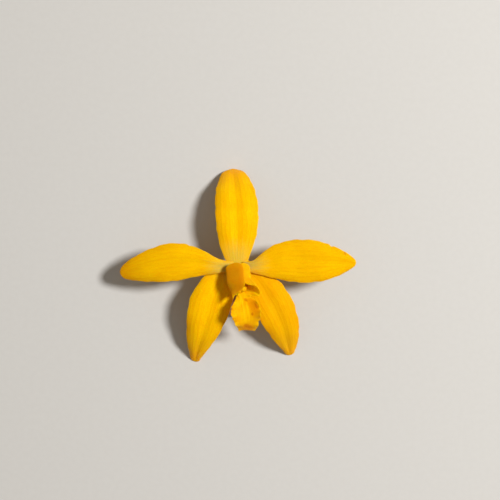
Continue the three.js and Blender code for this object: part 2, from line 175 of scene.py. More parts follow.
def ring_grid(along: Array, sides: int) -> tuple[Array, Array]:
    """The values along a piece and the turns round it, each as a grid of rings by points round a ring."""
    turn = np.linspace(0.0, 2.0 * math.pi, sides, endpoint=False)
    return tuple(np.broadcast_arrays(along[:, None], turn[None, :]))


def moved(points: Array, place: Matrix) -> Array:
    """Points turned from a place's own axes to those of the flower, plus the place's position."""
    return points @ np.array(place.to_3x3()).T + np.array(place.translation)


def wrapped_mesh(name: str, points: Array, marks: Marks) -> bpy.types.Mesh:
    """Makes a closed mesh from rings of points, and closes each end where its ring has shrunk together.

    Args:
        name: the mesh's name.
        points: grid of rings by points round a ring by x, y, z, in millimetres.
        marks: named values from the same grid, kept as attributes for the finish.

    Returns:
        The mesh in metres, with smooth faces that point outwards.
    """
    rings, sides = points.shape[:2]
    ring = np.arange(rings - 1)[:, None] * sides
    near = np.arange(sides)[None, :]
    far = (near + 1) % sides
    faces = np.stack([ring + near, ring + sides + near, ring + sides + far, ring + far], axis=-1)
    mesh = bpy.data.meshes.new(name)
    mesh.from_pydata((points.reshape(-1, 3) * MM).tolist(), [], faces.reshape(-1, 4).tolist())
    for mark, values in marks.items():
        layer = mesh.attributes.new(mark, "FLOAT", "POINT")
        layer.data.foreach_set("value", np.broadcast_to(values, (rings, sides)).astype(np.float32).ravel())
    work = bmesh.new()
    work.from_mesh(mesh)
    bmesh.ops.remove_doubles(work, verts=work.verts, dist=MERGE_DISTANCE)
    bmesh.ops.recalc_face_normals(work, faces=work.faces)
    work.to_mesh(mesh)
    work.free()
    mesh.shade_smooth()
    return mesh


def place_piece(mesh: bpy.types.Mesh, node: str, finish: Material) -> bpy.types.Object:
    """Puts a mesh in the scene as the piece that stands for a CAD node.

    Args:
        mesh: the finished mesh, in metres and in its place.
        node: the node that the piece stands for.
        finish: its material.

    Returns:
        The new object, which rides on the flower's one body.
    """
    mesh.materials.append(finish)
    piece = bpy.data.objects.new(mesh.name, mesh)
    bpy.context.scene.collection.objects.link(piece)
    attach(piece, "root")
    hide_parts(node)
    LOG.info("%s stands for %s: %d faces", piece.name, node, len(mesh.polygons))
    return piece


# Finishes

CLOUD_DETAIL = 3.0  # levels of finer noise in broad clouds of colour
GRAIN_DETAIL = 4.0  # the same in the fine grain
STREAK_DETAIL = 2.0  # and in streaks
MIX_INPUTS = (0, 6, 7)  # places of the share and of the two colours on a mixing node
MIX_OUTPUT = 2  # place of its mixed colour


class Spot(NamedTuple):
    """A soft spot on a sheet: middle, half-length and half-breadth in the sheet's marks, and strength."""

    along: float
    across: float
    length: float
    breadth: float
    strength: float = 0.8


@dataclass(frozen=True)
class Skin:
    """How flower tissue shines, and how far red, green and blue light run under its surface."""

    shine: float = 0.14
    shine_colour: str = "#ffc830"
    depth: float = 0.65
    reach: Point = (1.0, 0.7, 0.05)
    reach_length: float = 0.9


THIN_SKIN = Skin(depth=0.75, reach_length=1.2)


class Graph:
    """The shader nodes of one material, with a method for each kind of step."""

    def __init__(self, name: str) -> None:
        """Starts an empty material.

        Args:
            name: the material's name.
        """
        self.material = bpy.data.materials.new(name)
        self.material.use_nodes = True
        self.tree = self.material.node_tree
        self.tree.nodes.clear()
        self.coordinates = self.add("ShaderNodeTexCoord").outputs["Object"]

    def add(self, kind: str, **settings: object) -> bpy.types.Node:
        """Adds a node.

        Args:
            kind: the node's type.
            **settings: its own settings by name.

        Returns:
            The new node.
        """
        node = self.tree.nodes.new(kind)
        for key, value in settings.items():
            setattr(node, key, value)
        return node

    def feed(self, socket: Socket, value: Feed) -> None:
        """Links an input to an output, or sets its value.

        Args:
            socket: the input.
            value: the output, number or colour that goes into it.
        """
        if isinstance(value, Socket):
            self.tree.links.new(value, socket)
        else:
            socket.default_value = value

    def filled(self, node: bpy.types.Node, *values: Feed) -> Socket:
        """Feeds a node's first inputs in order.

        Args:
            node: the node.
            *values: what goes into each input, from the first one on.

        Returns:
            The node's first output.
        """
        for socket, value in zip(node.inputs, values):
            self.feed(socket, value)
        return node.outputs[0]

    def math(self, operation: str, a: Feed, b: Feed = 0.0, c: Feed = 0.0) -> Socket:
        """The result of one sum, product, power or the like."""
        return self.filled(self.add("ShaderNodeMath", operation=operation), a, b, c)

    def ease(self, x: Feed, low: float, high: float, start: float = 0.0, end: float = 1.0) -> Socket:
        """A smooth step from start at low to end at high."""
        return self.filled(
            self.add("ShaderNodeMapRange", interpolation_type="SMOOTHSTEP"), x, low, high, start, end
        )

    def mix(self, share: Feed, a: Feed, b: Feed) -> Socket:
        """Blends two colours: a times one less the share, plus b times the share.

        Args:
            share: how much of b shows, from 0 to 1.
            a: the colour at a share of 0.
            b: the colour at a share of 1.

        Returns:
            The blended colour.
        """
        node = self.add("ShaderNodeMix", data_type="RGBA", clamp_factor=True)
        for place, value in zip(MIX_INPUTS, (share, a, b)):
            self.feed(node.inputs[place], value)
        return node.outputs[MIX_OUTPUT]

    def layered(self, ground: str, layers: Layers) -> Feed:
        """Lays colours over a ground, one after another.

        Args:
            ground: the colour underneath.
            layers: the share and the colour of each layer, from the lowest up.

        Returns:
            The blended colour.
        """
        colour = linear(ground)
        for share, code in layers:
            colour = self.mix(share, colour, linear(code))
        return colour

    def mark(self, name: str) -> Socket:
        """A named value that the mesh carries."""
        return self.add("ShaderNodeAttribute", attribute_type="GEOMETRY", attribute_name=name).outputs["Fac"]

    def noise_over(self, vector: Socket, scale: float, detail: float) -> Socket:
        """Soft noise over any coordinates.

        Args:
            vector: the coordinates.
            scale: features of the noise to one unit of them.
            detail: levels of finer noise.

        Returns:
            The noise, from 0 to 1.
        """
        node = self.add("ShaderNodeTexNoise")
        self.feed(node.inputs["Vector"], vector)
        node.inputs["Scale"].default_value = scale
        node.inputs["Detail"].default_value = detail
        return node.outputs["Fac"]

    def noise(self, size: float, detail: float = CLOUD_DETAIL) -> Socket:
        """Soft noise from 0 to 1 with features of that size in millimetres."""
        return self.noise_over(self.coordinates, 1.0 / (size * MM), detail)

    def cells(self, size: float) -> Socket:
        """Many small round cells.

        Args:
            size: their size in millimetres.

        Returns:
            The distance from the middle of the nearest cell.
        """
        node = self.add("ShaderNodeTexVoronoi", feature="F1")
        self.feed(node.inputs["Vector"], self.coordinates)
        node.inputs["Scale"].default_value = 1.0 / (size * MM)
        return node.outputs["Distance"]

    def streaks(self, across: Feed, along: Feed, pitch: Pair) -> Socket:
        """Noise drawn out along a blade.

        Args:
            across: the mark from margin to margin.
            along: the mark from base to tip.
            pitch: features of the noise to one unit across and to one along.

        Returns:
            The noise, from 0 to 1.
        """
        sideways = self.math("MULTIPLY", across, pitch[0])
        lengthwise = self.math("MULTIPLY", along, pitch[1])
        joined = self.filled(self.add("ShaderNodeCombineXYZ"), sideways, lengthwise)
        return self.noise_over(joined, 1.0, STREAK_DETAIL)

    def spot(self, along: Feed, across: Feed, spot: Spot) -> Socket:
        """The share of a soft spot's colour.

        It falls smoothly from the strength in the middle to 0 at the edge, over the sum of the squares of
        the distances from the middle, each divided by the spot's half-length or half-breadth.

        Args:
            along: the mark from base to tip.
            across: the mark from margin to margin.
            spot: the spot.

        Returns:
            The share.
        """
        x = self.math("DIVIDE", self.math("SUBTRACT", along, spot.along), spot.length)
        y = self.math("DIVIDE", self.math("SUBTRACT", across, spot.across), spot.breadth)
        squares = self.math("ADD", self.math("MULTIPLY", x, x), self.math("MULTIPLY", y, y))
        return self.ease(squares, 1.0, 0.0, 0.0, spot.strength)

    def finish(self, colour: Feed, roughness: Feed, height: Feed, relief: float, skin: Skin) -> Material:
        """Joins colour, roughness and relief into a skin that lets a little light in.

        Args:
            colour: the base colour.
            roughness: from 0, mirror-like, to 1, matte.
            height: relief from 0 to 1.
            relief: the depth in millimetres that a height of 1 stands for.
            skin: how the surface shines and how far light runs under it.

        Returns:
            The finished material.
        """
        bump = self.add("ShaderNodeBump")
        self.feed(bump.inputs["Height"], height)
        self.feed(bump.inputs["Distance"], relief * MM)
        shader = self.add("ShaderNodeBsdfPrincipled")
        values = {
            "Base Color": colour,
            "Roughness": roughness,
            "Normal": bump.outputs[0],
            "Specular IOR Level": skin.shine,
            "Specular Tint": linear(skin.shine_colour),
            "Subsurface Weight": skin.depth,
            "Subsurface Radius": skin.reach,
            "Subsurface Scale": skin.reach_length * MM,
        }
        for name, value in values.items():
            self.feed(shader.inputs[name], value)
        output = self.add("ShaderNodeOutputMaterial")
        self.feed(output.inputs["Surface"], shader.outputs[0])
        return self.material


@dataclass(frozen=True)
class BladeFinish:
    """Golden tissue of a sepal or petal: fine veins, pale base, deeper margins and tip, duller back.

    The deeper margins are partly the tissue's own colour and partly painted shade where they turn from the
    light, and the left petal's darker tip is partly painted shade. Sizes of noise and relief are in
    millimetres. A fade turns noise or a mark into a share or a roughness.
    """

    name: str
    body: str
    deep: str
    tip: str
    pale: str
    back: str
    pale_reach: float
    pale_side: float = 0.0
    pale_start: float = 0.1
    pale_wander: float = 0.22
    bruise: str = "#b06c10"
    bruises: tuple[Spot, ...] = ()
    cloud_size: float = 5.0
    grain_size: float = 0.35
    cell_size: float = 0.16
    streak_pitch: Pair = (9.0, 3.0)
    veins: float = 5.0
    vein_wander: float = 0.9
    vein_power: float = 5.0
    vein_share: float = 0.16
    cloud_fade: Fade = (0.35, 0.75, 0.0, 0.35)
    streak_fade: Fade = (0.45, 0.75, 0.0, 0.3)
    margin_fade: Fade = (0.6, 1.0, 0.0, 0.45)
    tip_fade: Fade = (0.65, 1.0, 0.0, 0.8)
    side_fade: Fade = (0.3, 1.0, 1.0, 0.3)
    back_fade: Fade = (1.0, 0.0, 0.0, 0.75)
    grain_fade: Fade = (0.35, 0.7, 0.0, 0.3)
    roughness: Fade = (0.2, 0.8, 0.48, 0.62)
    vein_height: float = 0.45
    grain_height: float = 0.35
    cell_height: float = 0.5
    relief: float = 0.05
    skin: Skin = Skin()

    def paleness(self, g: Graph, along: Socket, across: Socket, streak: Socket) -> Socket:
        """The share of the pale base: it ends in streaks, and fades to the sides.

        Args:
            g: the material's graph.
            along: the mark from base to tip.
            across: the mark from margin to margin.
            streak: noise drawn out along the blade.

        Returns:
            The share.
        """
        start = g.math("SUBTRACT", along, self.pale_wander / 2.0)
        reach = g.math("MULTIPLY_ADD", streak, self.pale_wander, start)
        base = g.ease(reach, self.pale_reach * self.pale_start, self.pale_reach, 1.0, 0.0)
        offside = g.math("ABSOLUTE", g.math("SUBTRACT", across, self.pale_side))
        return g.math("MULTIPLY", base, g.ease(offside, *self.side_fade))

    def material(self) -> Material:
        """Wires the finish from the blade's along, across and upper marks.

        A vein is a cosine across the blade, shifted by noise, brought to between 0 and 1 and raised to a
        power.

        Returns:
            The material.
        """
        g = Graph(self.name)
        along = g.mark("along")
        across = g.mark("across")
        cloud = g.noise(self.cloud_size)
        grain = g.noise(self.grain_size, GRAIN_DETAIL)
        streak = g.streaks(across, along, self.streak_pitch)
        wander = g.math("MULTIPLY_ADD", cloud, self.vein_wander, g.math("MULTIPLY", across, self.veins))
        line = g.math("COSINE", g.math("MULTIPLY", wander, 2.0 * math.pi))
        vein = g.math("POWER", g.math("MULTIPLY_ADD", line, 0.5, 0.5), self.vein_power)
        layers = [
            (g.ease(cloud, *self.cloud_fade), self.deep),
            (g.ease(streak, *self.streak_fade), self.deep),
            (g.math("MULTIPLY", vein, self.vein_share), self.deep),
            # deeper margins: partly the tissue's own colour, partly painted shade where the margins turn
            # from the light
            (g.ease(g.math("ABSOLUTE", across), *self.margin_fade), self.deep),
            # tip colour: the tissue's own deeper orange, and on the left petal also painted shade
            (g.ease(along, *self.tip_fade), self.tip),
            (self.paleness(g, along, across, streak), self.pale),
            (g.ease(g.mark("upper"), *self.back_fade), self.back),
            (g.ease(grain, *self.grain_fade), self.deep),
        ]
        layers += [(g.spot(along, across, spot), self.bruise) for spot in self.bruises]
        colour = g.layered(self.body, layers)
        height = g.math("MULTIPLY", grain, self.grain_height)
        height = g.math("MULTIPLY_ADD", vein, self.vein_height, height)
        height = g.math("MULTIPLY_ADD", g.cells(self.cell_size), self.cell_height, height)
        return g.finish(colour, g.ease(grain, *self.roughness), height, self.relief, self.skin)


@dataclass(frozen=True)
class LipFinish:
    """Deeper yellow tissue of the lip, with painted shade in its folds and a painted glow on its right lobe.

    Deep orange patches are partly the lip's own colour and partly painted shade where it turns from the
    light. The darker spots are painted shade in the folds of the middle lobe and at its apex. The glow is a
    painted lift for light shining through the front of the right lobe. Sizes of noise and relief are in
    millimetres. A fade turns noise or a mark into a share or a roughness.
    """

    name: str = "lip_tissue"
    body: str = "#ecb705"
    deep: str = "#dd8a03"
    # painted shade: darker orange for the spots in the folds of the middle lobe and at its apex
    painted_fold_shade: str = "#bd6208"
    # painted light: a lighter yellow for light shining through the front of the right lobe
    painted_glow: str = "#ffc808"
    # spots of painted shade in the folds of the middle lobe and at its apex
    fold_shade_spots: tuple[Spot, ...] = (
        Spot(0.91, -0.05, 0.035, 0.34),
        Spot(0.93, 0.3, 0.03, 0.3),
        Spot(0.79, 0.42, 0.02, 0.1),
        Spot(0.72, 0.78, 0.035, 0.1),
        Spot(0.64, 0.3, 0.03, 0.2),
    )
    # deep orange patches: partly the lip's own colour, partly painted shade where the lip turns from the
    # light
    flushes_and_shade: tuple[Spot, ...] = (
        Spot(0.73, 0.6, 0.13, 0.45, 0.75),
        Spot(0.24, -0.75, 0.2, 0.7, 0.85),
        Spot(0.22, 0.8, 0.18, 0.4, 0.4),
        Spot(0.75, -0.75, 0.16, 0.5, 0.45),
        Spot(0.97, 0.0, 0.13, 1.3, 0.8),
    )
    # painted glow on the front of the right lobe, in place of light that shines through it
    painted_glow_spot: Spot = Spot(0.43, 0.68, 0.08, 0.45, 1.0)
    cloud_size: float = 2.4
    grain_size: float = 0.3
    cell_size: float = 0.14
    streak_pitch: Pair = (11.0, 5.0)
    cloud_fade: Fade = (0.4, 0.75, 0.0, 0.4)
    streak_fade: Fade = (0.5, 0.78, 0.0, 0.45)
    margin_fade: Fade = (0.75, 1.0, 0.0, 0.35)
    roughness: Fade = (0.2, 0.8, 0.45, 0.6)
    spot_cloud: float = 1.1
    spot_least: float = 0.3
    streak_height: float = 0.6
    grain_height: float = 0.4
    cell_height: float = 0.5
    relief: float = 0.05
    skin: Skin = Skin()

    def material(self) -> Material:
        """Wires the finish from the lip's along and across marks.

        The painted fold shade is uneven: its share is times the noise times one number, plus another.

        Returns:
            The material.
        """
        g = Graph(self.name)
        along = g.mark("along")
        across = g.mark("across")
        cloud = g.noise(self.cloud_size)
        grain = g.noise(self.grain_size, GRAIN_DETAIL)
        streak = g.streaks(across, along, self.streak_pitch)
        uneven = g.math("MULTIPLY_ADD", cloud, self.spot_cloud, self.spot_least)
        layers = [
            (g.ease(cloud, *self.cloud_fade), self.deep),
            (g.ease(streak, *self.streak_fade), self.deep),
            (g.ease(g.math("ABSOLUTE", across), *self.margin_fade), self.deep),
        ]
        # deep orange patches, partly painted shade
        layers += [(g.spot(along, across, flush), self.deep) for flush in self.flushes_and_shade]
        # painted glow on the front of the right lobe
        layers.append((g.spot(along, across, self.painted_glow_spot), self.painted_glow))
        # painted shade in the folds of the middle lobe, made uneven by the noise
        layers += [
            (g.math("MULTIPLY", g.spot(along, across, spot), uneven), self.painted_fold_shade) for spot in self.fold_shade_spots
        ]
        colour = g.layered(self.body, layers)
        height = g.math("MULTIPLY", grain, self.grain_height)
        height = g.math("MULTIPLY_ADD", streak, self.streak_height, height)
        height = g.math("MULTIPLY_ADD", g.cells(self.cell_size), self.cell_height, height)
        return g.finish(colour, g.ease(grain, *self.roughness), height, self.relief, self.skin)


@dataclass(frozen=True)
class FleshFinish:
    """Smooth flesh of the column, the anther cap and the pollen, paler at one end of the piece."""

    name: str
    body: str
    deep: str
    pale: str
    roughness: float
    skin: Skin = Skin(shine=0.35, depth=0.2)
    roughness_step: float = 0.07
    roughness_grain: Pair = (0.2, 0.8)
    cloud_size: float = 1.3
    grain_size: float = 0.2
    cell_size: float = 0.12
    cloud_fade: Fade = (0.35, 0.75, 0.0, 0.6)
    pale_fade: Fade = (0.0, 0.45, 0.9, 0.0)
    cell_height: float = 0.5
    relief: float = 0.03

    def material(self) -> Material:
        """Wires the finish from the piece's along mark, pale at 0.

        Returns:
            The material.
        """
        g = Graph(self.name)
        grain = g.noise(self.grain_size, GRAIN_DETAIL)
        layers = [
            (g.ease(g.noise(self.cloud_size), *self.cloud_fade), self.deep),
            (g.ease(g.mark("along"), *self.pale_fade), self.pale),
        ]
        smoothest = self.roughness - self.roughness_step
        roughest = self.roughness + self.roughness_step
        roughness = g.ease(grain, *self.roughness_grain, smoothest, roughest)
        height = g.math("MULTIPLY_ADD", g.cells(self.cell_size), self.cell_height, grain)
        return g.finish(g.layered(self.body, layers), roughness, height, self.relief, self.skin)


@dataclass(frozen=True)
class StalkFinish:
    """Pinkish tan stalk, yellow at the boss and greenish on the ovary, with a pale fibrous cut end."""

    name: str = "stalk_skin"
    boss: str = "#e3bb5c"
    ovary: str = "#b9a35c"
    stalk: str = "#b98468"
    furrow: str = "#8d5f45"
    cut: str = "#cfc79a"
    cut_rim: str = "#8a6a44"
    skin: Skin = Skin(shine=0.4, shine_colour="#fff4e0", depth=0.08)
    cloud_size: float = 2.2
    grain_size: float = 0.25
    fibre_size: float = 0.3
    cell_size: float = 0.18
    stalk_fade: Pair = (0.3, 0.75)
    cloud_fade: Fade = (0.35, 0.75, 0.0, 0.5)
    furrow_fade: Fade = (0.5, -1.0, 0.0, 0.55)
    boss_fade: Fade = (0.02, 0.14, 1.0, 0.0)
    grain_fade: Fade = (0.55, 0.8, 0.0, 0.35)
    fibre_fade: Fade = (0.4, 0.7, 0.0, 0.6)
    rim_fade: Pair = (0.25, 0.02)
    cut_fade: Pair = (0.02, 0.35)
    roughness: Fade = (0.2, 0.8, 0.5, 0.7)
    cell_height: float = 0.5
    relief: float = 0.04

    def material(self) -> Material:
        """Wires the finish from the along, rib and cut marks of the stalk.

        Returns:
            The material.
        """
        g = Graph(self.name)
        along = g.mark("along")
        cut = g.mark("cut")
        grain = g.noise(self.grain_size, GRAIN_DETAIL)
        skin_layers = [
            (g.ease(along, *self.stalk_fade), self.stalk),
            (g.ease(g.noise(self.cloud_size), *self.cloud_fade), self.stalk),
            (g.ease(g.mark("rib"), *self.furrow_fade), self.furrow),
            (g.ease(along, *self.boss_fade), self.boss),
            (g.ease(grain, *self.grain_fade), self.furrow),
        ]
        cut_layers = [
            (g.ease(g.noise(self.fibre_size), *self.fibre_fade), self.furrow),
            (g.ease(cut, *self.rim_fade), self.cut_rim),
        ]
        outside = g.layered(self.ovary, skin_layers)
        face = g.layered(self.cut, cut_layers)
        colour = g.mix(g.ease(cut, *self.cut_fade), outside, face)
        height = g.math("MULTIPLY_ADD", g.cells(self.cell_size), self.cell_height, grain)
        return g.finish(colour, g.ease(grain, *self.roughness), height, self.relief, self.skin)


# Sheets: sepals, petals and the lip


class Sheet(ABC):
    """A thin sheet of tissue, closed round its middle surface, that runs from a base to a tip."""

    rows: int
    loop: int

    @abstractmethod
    def middle(self, u: Array, v: Array) -> Array:
        """The middle surface at u from base to tip and v from margin to margin."""

    @abstractmethod
    def half_thickness(self, u: Array, v: Array, upper: Array) -> Array:
        """Half the sheet's thickness there, on its upper or its lower face."""

    def normal(self, u: Array, v: Array) -> Array:
        """Directions out of the upper face.

        Each is the slope along the sheet crossed with the slope across it. A slope is the difference between
        the places a small step before and after.

        Args:
            u: from 0 at the base to 1 at the tip.
            v: from -1 at one margin to 1 at the other.

        Returns:
            Vectors of length 1.
        """
        inner_u = np.clip(u, SLOPE_MARGIN, 1.0 - SLOPE_MARGIN)
        inner_v = np.clip(v, SLOPE_MARGIN - 1.0, 1.0 - SLOPE_MARGIN)
        forward = self.middle(inner_u + SLOPE_STEP, inner_v) - self.middle(inner_u - SLOPE_STEP, inner_v)
        across = self.middle(inner_u, inner_v + SLOPE_STEP) - self.middle(inner_u, inner_v - SLOPE_STEP)
        return unit(np.cross(unit(forward), unit(across)))

    def points(self) -> tuple[Array, Marks]:
        """Wraps rings round the middle surface.

        A ring at u goes round through v equal to the cosine of the turn. A point is the middle surface plus
        its normal times half the thickness times the root of the sine, so the margins are round. Root curves
        round off both ends too. Nothing reaches below the level surface at a height of 0.

        Returns:
            The grid of points in millimetres, and its along, across and upper marks.
        """
        u, turn = ring_grid(crowded(self.rows), self.loop)
        v = np.cos(turn)
        rounded = np.sign(np.sin(turn)) * np.sqrt(np.abs(np.sin(turn)))
        rounded[:, [0, self.loop // 2]] = 0.0
        base_end = np.sqrt(np.clip(u / END_ROUNDING, 0.0, 1.0))
        tip_end = np.sqrt(np.clip((1.0 - u) / END_ROUNDING, 0.0, 1.0))
        offset = self.half_thickness(u, v, rounded > 0.0) * rounded * (base_end * tip_end)
        points = self.middle(u, v) + self.normal(u, v) * offset[..., None]
        points[..., 2] = np.maximum(points[..., 2], 0.0)
        return points, {"along": u, "across": v, "upper": 0.5 + 0.5 * rounded}

    def mesh(self, name: str) -> bpy.types.Mesh:
        """The sheet as a closed mesh."""
        return wrapped_mesh(name, *self.points())


@dataclass(frozen=True)
class Nick:
    """A shallow dent in a margin: its place from base to tip, side, depth and half-length as shares."""

    along: float
    side: int
    depth: float
    length: float


@dataclass
class Blade(Sheet):
    """A sepal or petal: each station is x, y, z and the half-widths to the left and right of the midrib."""

    node: str
    slot: Slot
    finish: BladeFinish
    stations: Table
    channel: float
    droop: Pair
    wave: float
    waves: int
    nicks: tuple[Nick, ...] = ()
    rows: int = 150
    loop: int = 120
    thickness: float = 0.74
    edge: float = 0.42
    keel: float = 0.22
    keel_width: float = 0.13
    keel_grows: Pair = (0.02, 0.2)
    keel_ends: Pair = (0.6, 0.95)
    channel_width: float = 0.28
    shaped: Pair = (0.3, 0.8)
    wave_starts: Pair = (0.6, 2.4)
    swell: float = 0.05
    swells: tuple[Pair, Pair] = ((9.0, 2.2), (17.0, -3.1))
    tip_length: float = 0.035
    uneven: float = 0.012
    ripples: Table = ((1.0, 46.0, 0.4, 3.0), (0.7, 81.0, 2.0, 0.9))

    def middle(self, u: Array, v: Array) -> Array:
        """The middle surface of the blade.

        Its height over the frame is minus the channel's bell curve, minus the droop times the cube of v,
        plus the wave times the fourth power of v times a sine along the blade, plus a low swell of one sine
        times another. All of it fades at base and tip. Its width is the station's, times a root curve that
        rounds the tip, times one plus the ripples, less the nicks. A ripple is a share, a rate along the
        blade and the phases of its sine on the left and the right margin.

        Args:
            u: from 0 at the base to 1 at the tip.
            v: from -1 at the right margin to 1 at the left one.

        Returns:
            Points in millimetres.
        """
        at = frames_along(self.stations, u)
        left = v > 0.0
        shaped = ease(0.0, self.shaped[0], u) * (1.0 - ease(self.shaped[1], 1.0, u))
        droop = np.where(left, *self.droop) * np.abs(v) ** 3
        phase = 2.0 * math.pi * self.waves * u + np.where(left, *self.wave_starts)
        wave = self.wave * v**4 * np.sin(phase)
        first, second = (np.sin(along * u + across * v) for along, across in self.swells)
        swell = self.swell * first * second
        height = shaped * (wave + swell - self.channel * hump(v, 0.0, self.channel_width) - droop)
        closing = np.clip((u - 1.0 + self.tip_length) / self.tip_length, 0.0, 1.0)
        breadth = np.where(left, at.extra[..., 0], at.extra[..., 1]) * np.sqrt(1.0 - closing**2)
        ripples = (size * np.sin(rate * u + np.where(left, *starts)) for size, rate, *starts in self.ripples)
        breadth = breadth * (1.0 + self.uneven * shaped * sum(ripples) * v**6)
        for nick in self.nicks:
            dent = nick.depth * hump(u, nick.along, nick.length) * v**6
            breadth = breadth * (1.0 - np.where(np.sign(v) == nick.side, dent, 0.0))
        return at.point + at.left * (breadth * v)[..., None] + at.upper * height[..., None]

    def half_thickness(self, u: Array, v: Array, upper: Array) -> Array:
        """Half of the thickness, which runs to the edge's with the square of v, plus the keel on the back.

        Args:
            u: from 0 at the base to 1 at the tip.
            v: from -1 at the right margin to 1 at the left one.
            upper: true on the upper face.

        Returns:
            Distances from the middle surface in millimetres.
        """
        plain = (self.thickness + (self.edge - self.thickness) * v * v) / 2.0
        faded = ease(*self.keel_grows, u) * (1.0 - ease(*self.keel_ends, u))
        keel = self.keel * hump(v, 0.0, self.keel_width) * faded
        return plain + np.where(upper, 0.0, keel)

    def build(self) -> bpy.types.Object:
        """Makes the blade and puts it in its node's place."""
        return place_piece(self.mesh(f"{self.node}_blade"), self.node, self.finish.material())


@dataclass
class Lip(Sheet):
    """The lip: each station is x, y, z, then width, curl and forward lean for the right and the left side.

    Width is measured along the sheet, and curl is one over the radius that a side rolls up with.
    """

    node: str = "lip"
    finish: LipFinish = LipFinish(skin=THIN_SKIN)
    stations: Table = (
        (0.0, -1.2, PETAL_MID, 1.1, 0.15, 0.0, 1.1, 0.15, 0.0),
        (0.0, -2.4, 10.25, 3.5, 0.3, 0.2, 2.8, 0.32, 0.2),
        (0.1, -3.2, 10.6, 8.3, 0.32, -2.4, 7.8, 0.33, -2.6),
        (0.15, -4.2, 11.1, 8.5, 0.32, -1.5, 8.8, 0.33, -1.4),
        (0.15, -5.3, 11.8, 8.4, 0.315, 0.3, 8.7, 0.33, 1.2),
        (0.2, -6.2, 12.4, 8.6, 0.31, 2.5, 8.8, 0.345, 4.0),
        (0.4, -7.0, 12.85, 5.3, 0.1, 3.7, 3.8, 0.5, 2.2),
        (0.6, -7.6, 13.15, 4.5, 0.08, 3.5, 3.7, 0.4, 3.2),
        (0.85, -8.3, 13.4, 3.0, 0.2, 1.4, 1.0, 0.3, -2.6),
        (1.1, -9.2, 13.8, 1.7, 0.17, 0.2, 0.8, 0.25, -1.0),
        (1.6, -10.6, 14.1, 3.7, 0.17, 0.0, 3.5, 0.15, 0.0),
        (1.9, -12.3, 14.2, 4.8, 0.17, 0.0, 4.2, 0.13, 0.0),
        (2.2, -14.1, 14.0, 4.6, 0.16, 0.0, 4.0, 0.12, 0.0),
        (2.45, -15.8, 13.4, 3.4, 0.12, 0.0, 3.3, 0.1, 0.0),
        (2.5, -17.2, 12.2, 2.7, 0.08, 0.0, 2.8, 0.08, 0.0),
        (2.45, -18.15, 10.7, 2.3, 0.06, 0.0, 2.2, 0.06, 0.0),
    )
    fold_reach: Pair = (1.43, 2.0)
    fold_climb: Pair = (0.35, 0.8)
    fold_lift: float = 0.35
    rows: int = 280
    loop: int = 240
    thickness: float = 0.5
    edge: float = 0.32
    ruffle: float = 0.38
    side_ruffle: float = 0.45
    ruffles: int = 9
    ruffle_starts: Pair = (0.0, 1.9)
    ruffled: Pair = (0.3, 0.45)
    waist: Pair = (0.5, 0.66)
    frill: float = 0.16
    frill_rate: float = 2.6
    frill_start: float = 1.0
    fringe: float = 0.02
    fringes: tuple[Pair, Pair] = ((150.0, 0.0), (97.0, 2.0))
    keel: float = 0.06
    keel_offset: float = 0.6
    keel_grows: Pair = (0.1, 0.3)
    keel_ends: Pair = (0.75, 0.9)

    def waves(self, u: Array, v: Array) -> Array:
        """The heights of the ruffles and of the finer frills.

        A ruffle is a sine along the sheet times the fourth power of v, low on the side lobes and full on the
        middle lobe. A frill is a faster sine times the eighth power of v, on the middle lobe only.

        Args:
            u: from 0 at the base to 1 at the apex.
            v: from -1 at the left margin to 1 at the right one, seen from above.

        Returns:
            Heights in millimetres.
        """
        open_lobe = ease(*self.waist, u)
        share = self.side_ruffle + (1.0 - self.side_ruffle) * open_lobe
        phase = 2.0 * math.pi * self.ruffles * u + np.where(v > 0.0, *self.ruffle_starts)
        ruffles = self.ruffle * share * ease(*self.ruffled, u) * v**4 * np.sin(phase)
        frills = self.frill * open_lobe * v**8 * np.sin(self.frill_rate * phase + self.frill_start)
        return ruffles + frills

    def middle(self, u: Array, v: Array) -> Array:
        """The middle surface of the lip.

        Across the sheet it rolls up on a circle: sideways by the sine of the turn over the curl, and up by
        one less its cosine over the curl. The turn is width times curl times v. Past a quarter turn a lobe
        folds over the column: with the fold as one less the sine of the turn, it reaches in by a share of
        the fold, and rises by another share of it and of its root. Two keels run along the middle, and the
        margins lean forward with the fourth power of v. The fringe lengthens the sheet at the margin of the
        middle lobe by sines with the eighth power of v.

        Args:
            u: from 0 at the base to 1 at the apex.
            v: from -1 at the left margin to 1 at the right one, seen from above.

        Returns:
            Points in millimetres.
        """
        at = frames_along(self.stations, u)
        right = (v > 0.0)[..., None]
        side = np.where(right, at.extra[..., 0:3], at.extra[..., 3:6])
        width, curl, lean = side[..., 0], side[..., 1], side[..., 2]
        fringe = sum(np.sin(rate * u + start * np.sign(v)) for rate, start in self.fringes)
        lengthened = 1.0 + self.fringe * ease(*self.waist, u) * v**8 * fringe
        turn = width * lengthened * curl * np.abs(v)
        ridge = hump(np.abs(v) * width, self.keel_offset, self.keel_offset / 2.0)
        keels = self.keel * ridge * ease(*self.keel_grows, u) * (1.0 - ease(*self.keel_ends, u))
        rolled = turn < math.pi / 2.0
        fold = 1.0 - np.sin(turn)
        folded_side = 1.0 - np.where(v > 0.0, *self.fold_reach) * fold
        folded_height = 1.0 + np.where(v > 0.0, *self.fold_climb) * fold + self.fold_lift * np.sqrt(fold)
        sideways = np.sign(v) * np.where(rolled, np.sin(turn), folded_side) / curl
        height = np.where(rolled, 1.0 - np.cos(turn), folded_height) / curl + self.waves(u, v) + keels
        point = at.point + at.left * sideways[..., None] + at.upper * height[..., None]
        return point + at.forward * (lean * v**4)[..., None]

    def half_thickness(self, u: Array, v: Array, upper: Array) -> Array:
        """Half of the thickness, which runs to the edge's with the square of v, the same on both faces."""
        return (self.thickness + (self.edge - self.thickness) * v * v) / 2.0

    def build(self) -> bpy.types.Object:
        """Makes the lip and puts it in its node's place."""
        return place_piece(self.mesh("lip_sheet"), self.node, self.finish.material())


# Column, anther cap and pollen masses


